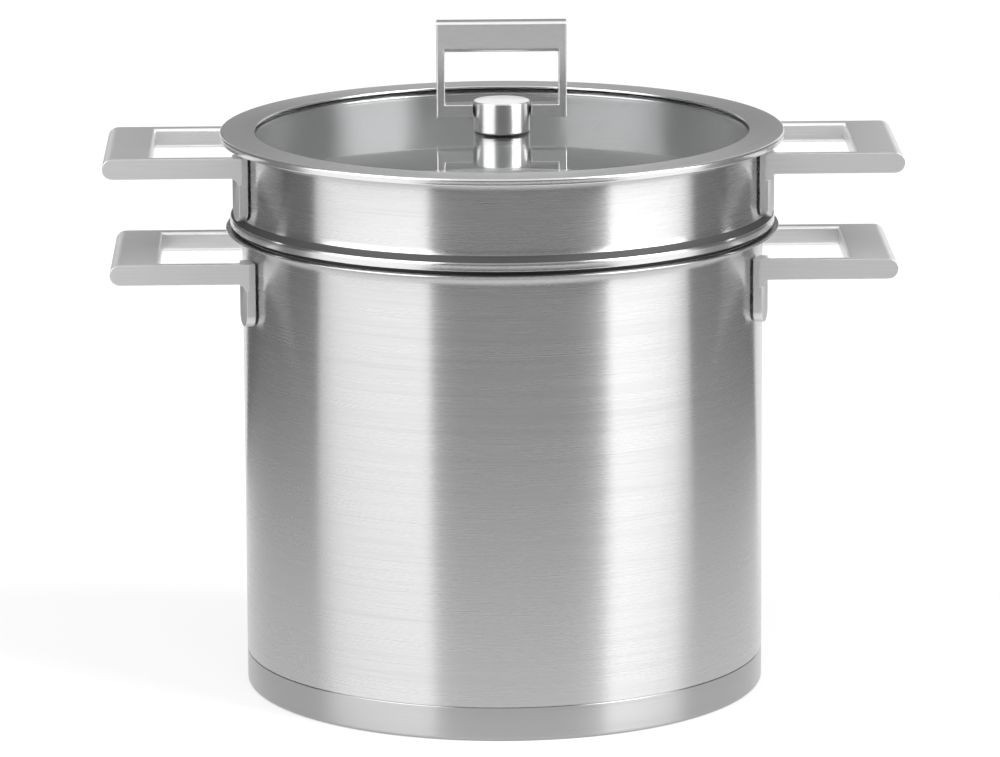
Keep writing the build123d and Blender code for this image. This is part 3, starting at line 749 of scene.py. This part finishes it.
# %% Knob and what holds it
KNOB, KNOB_LOW, KNOB_TOP, PIVOT = 12.0, 238.2, 251.6, 247.3
knob_outline = (
    [(0, KNOB_LOW), (KNOB - 0.5, KNOB_LOW), (KNOB, KNOB_LOW + 0.5)]
    + arc(KNOB - 0.5, KNOB_TOP - 0.75, 0.5, 0, 80, 5)
    + [(8, KNOB_TOP - 0.1), (4, KNOB_TOP - 0.02), (0.7, KNOB_TOP), (0.4, KNOB_TOP - 0.4),
       (0, KNOB_TOP - 0.45)]
)
knob = turned("knob", knob_outline, knob_steel, 128)
# The flat top takes the lighter copy of the steel: painted light on the face that looks up.
knob.data.materials.append(lit_faced_steel)
for face in knob.data.polygons:
    if face.normal.z > 0.98 and face.center.z > (KNOB_TOP - 0.5) * MM:
        face.material_index = 1
dress(knob, "lid_knob", "lid")
washer_outline = (
    [(4.0, GLASS_TOP), (11.2, GLASS_TOP)]
    + arc(11.15, (GLASS_TOP + KNOB_LOW) / 2, (KNOB_LOW - GLASS_TOP) / 2, -90, 180, 8)[1:]
    + [(4.0, KNOB_LOW)]
)
dress(turned("washer", washer_outline, silicone, 96), "knob_washer", "lid")

HEAD, HEAD_LOW, SHANK, SHANK_TOP = 7.5, 231.3, 3.0, 244.7
bm = bmesh.new()
hexagon = [(HEAD * cos(pi * k / 3), HEAD * sin(pi * k / 3)) for k in range(6)]
slab(bm, hexagon, HEAD_LOW, GLASS_LOW, lambda x, y, z: (x, y, z))
turns = [pi * k / 12 for k in range(24)]
shank = [(SHANK * cos(a), SHANK * sin(a)) for a in turns]
slab(bm, shank, GLASS_LOW, SHANK_TOP, lambda x, y, z: (x, y, z))
bmesh.ops.recalc_face_normals(bm, faces=bm.faces)
screw = finished("screw", bm, knob_steel, 30)
chamfer = screw.modifiers.new("chamfer", "BEVEL")
chamfer.width, chamfer.segments = 0.3 * MM, 2
chamfer.limit_method, chamfer.angle_limit = "ANGLE", radians(40)
dress(screw, "knob_screw", "lid")

PIN, PIN_HALF, PIN_CHAMFER = 1.5, 21.15, 0.3
bm = bmesh.new()
stations = [(-PIN_HALF, PIN - PIN_CHAMFER), (-PIN_HALF + PIN_CHAMFER, PIN),
            (PIN_HALF - PIN_CHAMFER, PIN), (PIN_HALF, PIN - PIN_CHAMFER)]
rings = [[bm.verts.new((x * MM, r * cos(a) * MM, (PIVOT + r * sin(a)) * MM)) for a in turns]
         for x, r in stations]
for low, high in zip(rings, rings[1:]):
    for k in range(len(turns)):
        after = (k + 1) % len(turns)
        bm.faces.new((low[k], low[after], high[after], high[k]))
bm.faces.new(rings[0])
bm.faces.new(rings[-1])
bmesh.ops.recalc_face_normals(bm, faces=bm.faces)
dress(finished("pin", bm, knob_steel, 40), "pivot_pin", "lid")

# %% [markdown]
# ## The loop on the lid
# The loop is bar steel: a tall top bar, two thin uprights and two feet that reach in to the knob.
# The top bar's upper edges are rounded for the fingers.

# %% Loop
WIDE, DEEP, SIDE, FOOT_END = 27.6, 8.5, 3.5, 12.4
loop_top, window_top, foot_low, foot_high = PIVOT + 38.3, PIVOT + 25.2, PIVOT - 2.7, PIVOT + 2.7
loop_outline = [
    (FOOT_END, foot_low), (WIDE, foot_low), (WIDE, loop_top), (-WIDE, loop_top), (-WIDE, foot_low),
    (-FOOT_END, foot_low), (-FOOT_END, foot_high), (-WIDE + SIDE, foot_high), (-WIDE + SIDE, window_top),
    (WIDE - SIDE, window_top), (WIDE - SIDE, foot_high), (FOOT_END, foot_high)]
bm = bmesh.new()
slab(bm, loop_outline, -DEEP / 2, DEEP / 2, lambda x, z, y: (x, y, z))
bmesh.ops.recalc_face_normals(bm, faces=bm.faces)
softness = bm.edges.layers.float.new("bevel_weight_edge")
for edge in bm.edges:
    one, two = (v.co / MM for v in edge.verts)
    if abs(one.y - two.y) > 1:
        edge[softness] = 0.25
    elif min(one.z, two.z) > loop_top - 0.1:
        edge[softness] = 0.85
    elif min(one.z, two.z) > window_top - 0.1:
        edge[softness] = 0.9
    elif min(abs(one.x), abs(two.x)) > WIDE - 0.1:
        edge[softness] = 0.3
    else:
        edge[softness] = 0.2
loop = finished("loop", bm, loop_steel, 30)
soft = loop.modifiers.new("softened_edges", "BEVEL")
soft.width, soft.segments, soft.limit_method = 2.0 * MM, 4, "WEIGHT"
soft.harden_normals = True
dress(loop, "lid_loop", "loop")

# %% [markdown]
# ## Camera
# The view was fitted to the photograph: a long lens, twelve degrees above the table, a little to the
# left of the middle and turned by a third of a degree.

# %% Camera
FOCAL, SIZE, CENTRE, SENSOR = 6478.0, (1000, 757), (503.0, 357.4), 36.0
azimuth, roll, away, cam_height = radians(1.2), radians(0.297), 2.7105, 0.7202
target = Vector((0, 0, 0.13965))
spot = Vector((-away * sin(azimuth), -away * cos(azimuth), cam_height))
ahead = (target - spot).normalized()
right = ahead.cross(Vector((0, 0, 1))).normalized()
upward = right.cross(ahead)
cam_x = right * cos(roll) - upward * sin(roll)
cam_y = upward * cos(roll) + right * sin(roll)
lens = bpy.data.cameras.new("camera")
camera = bpy.data.objects.new("camera", lens)
bpy.context.scene.collection.objects.link(camera)
camera.matrix_world = Matrix((
    (cam_x.x, cam_y.x, -ahead.x, spot.x), (cam_x.y, cam_y.y, -ahead.y, spot.y),
    (cam_x.z, cam_y.z, -ahead.z, spot.z), (0, 0, 0, 1)))
lens.sensor_fit, lens.sensor_width, lens.lens = "HORIZONTAL", SENSOR, FOCAL / SIZE[0] * SENSOR
lens.shift_x, lens.shift_y = (SIZE[0] / 2 - CENTRE[0]) / SIZE[0], (CENTRE[1] - SIZE[1] / 2) / SIZE[0]
lens.clip_start, lens.clip_end = 0.05, 50.0
bpy.context.scene.camera = camera
print("lens", round(lens.lens, 1), "elevation", round(degrees(asin(-ahead.z)), 2))

# %% [markdown]
# ## Floor, lamps and flags
# Shiny steel shows what stands round it. A studio lights it with two tall soft boxes, which become
# the two bright bands on the wall, and hangs grey cards beside them, which become the dark ones.
# The cards only show in reflections. The floor and the world are white to the eye, and the floor
# keeps the soft shadow of the pot.

# %% Studio
def seen_rays(tree):
    """1 for rays that look at the surroundings: camera, mirror and glass rays."""
    ray = add(tree, "ShaderNodeLightPath").outputs
    first = add(tree, "ShaderNodeMath", {0: ray["Is Camera Ray"], 1: ray["Is Glossy Ray"]},
                operation="ADD").outputs[0]
    return add(tree, "ShaderNodeMath", {0: first, 1: ray["Is Transmission Ray"]},
               operation="ADD", use_clamp=True).outputs[0]


world = bpy.data.worlds.new("studio")
bpy.context.scene.world = world
world.use_nodes = True
world.node_tree.nodes.clear()
glow = add(world.node_tree, "ShaderNodeMapRange",
           {"Value": seen_rays(world.node_tree), "To Min": 0.7, "To Max": 1.0}).outputs[0]
sky = add(world.node_tree, "ShaderNodeBackground", {"Color": (1, 1, 1, 1), "Strength": glow})
add(world.node_tree, "ShaderNodeOutputWorld", {"Surface": sky.outputs[0]})

floor_paint, tree = new_material("floor_pale")
lit = add(tree, "ShaderNodeBsdfDiffuse", {"Color": linear("#BCBCBC")}).outputs[0]
FLOOR_GLOW = 0.43
lift = add(tree, "ShaderNodeMath", {0: seen_rays(tree), 1: FLOOR_GLOW}, operation="MULTIPLY").outputs[0]
own = add(tree, "ShaderNodeEmission", {"Color": (1, 1, 1, 1), "Strength": lift}).outputs[0]
floor_light = add(tree, "ShaderNodeAddShader", {0: lit, 1: own}).outputs[0]
add(tree, "ShaderNodeOutputMaterial", {"Surface": floor_light})
bm = bmesh.new()
bmesh.ops.create_circle(bm, cap_ends=True, segments=96, radius=12.0)
floor = finished("floor", bm, floor_paint)


def card(name, start, end, outline, grey, steps=12):
    """A grey card between two azimuths, 0 towards the camera; outline is (distance, height) in m."""
    paint, tree = new_material(name)
    shine = add(tree, "ShaderNodeEmission", {"Color": linear(grey), "Strength": 1.0}).outputs[0]
    add(tree, "ShaderNodeOutputMaterial", {"Surface": shine})
    bm = bmesh.new()
    turns = [radians(start + (end - start) * k / steps) for k in range(steps + 1)]
    rows = [[bm.verts.new((r * sin(a), -r * cos(a), z)) for a in turns] for r, z in outline]
    for near, far in zip(rows, rows[1:]):
        for k in range(steps):
            bm.faces.new((near[k], near[k + 1], far[k + 1], far[k]))
    panel = finished(name, bm, paint)
    panel.visible_camera = panel.visible_diffuse = panel.visible_shadow = False


card("flag_front", -31, 43, [(1.6, 0.002), (1.6, 1.15)], "#606060")
card("flag_table", -31, 43, [(0.42, 0.002), (0.92, 0.002)], "#303030")
card("flag_left", -151, -84, [(0.45, 0.002), (0.9, 0.002), (0.9, 1.4)], "#7C7C7C")
card("flag_right", 83, 140, [(0.45, 0.002), (0.9, 0.002), (0.9, 1.4)], "#898989")
card("flag_back", 163, 197, [(1.9, 0.35), (1.9, 2.4)], "#7E7E7E")


def soft_box(name, start, end, low, high, radiance, away=3.0):
    """A soft box between two azimuths and two heights in metres, facing the pot."""
    middle, width = radians((start + end) / 2), 2 * away * tan(radians((end - start) / 2))
    data = bpy.data.lights.new(name, "AREA")
    data.shape, data.size, data.size_y = "RECTANGLE", width, high - low
    data.energy = radiance * pi * width * (high - low)
    lamp = bpy.data.objects.new(name, data)
    lamp.location = (away * sin(middle), -away * cos(middle), (low + high) / 2)
    lamp.rotation_euler = (radians(90), 0, middle)
    lamp.visible_camera = False
    bpy.context.scene.collection.objects.link(lamp)
    print(name, "power", round(data.energy, 1), "W")


soft_box("soft_box_left", -84, -31, 0.7, 5.2, 3.8)
soft_box("soft_box_right", 43, 83, 0.7, 5.2, 6.2)

# %% Close the scene
scene = bpy.context.scene
scene.view_settings.view_transform = "Standard"
bpy.context.view_layer.update()
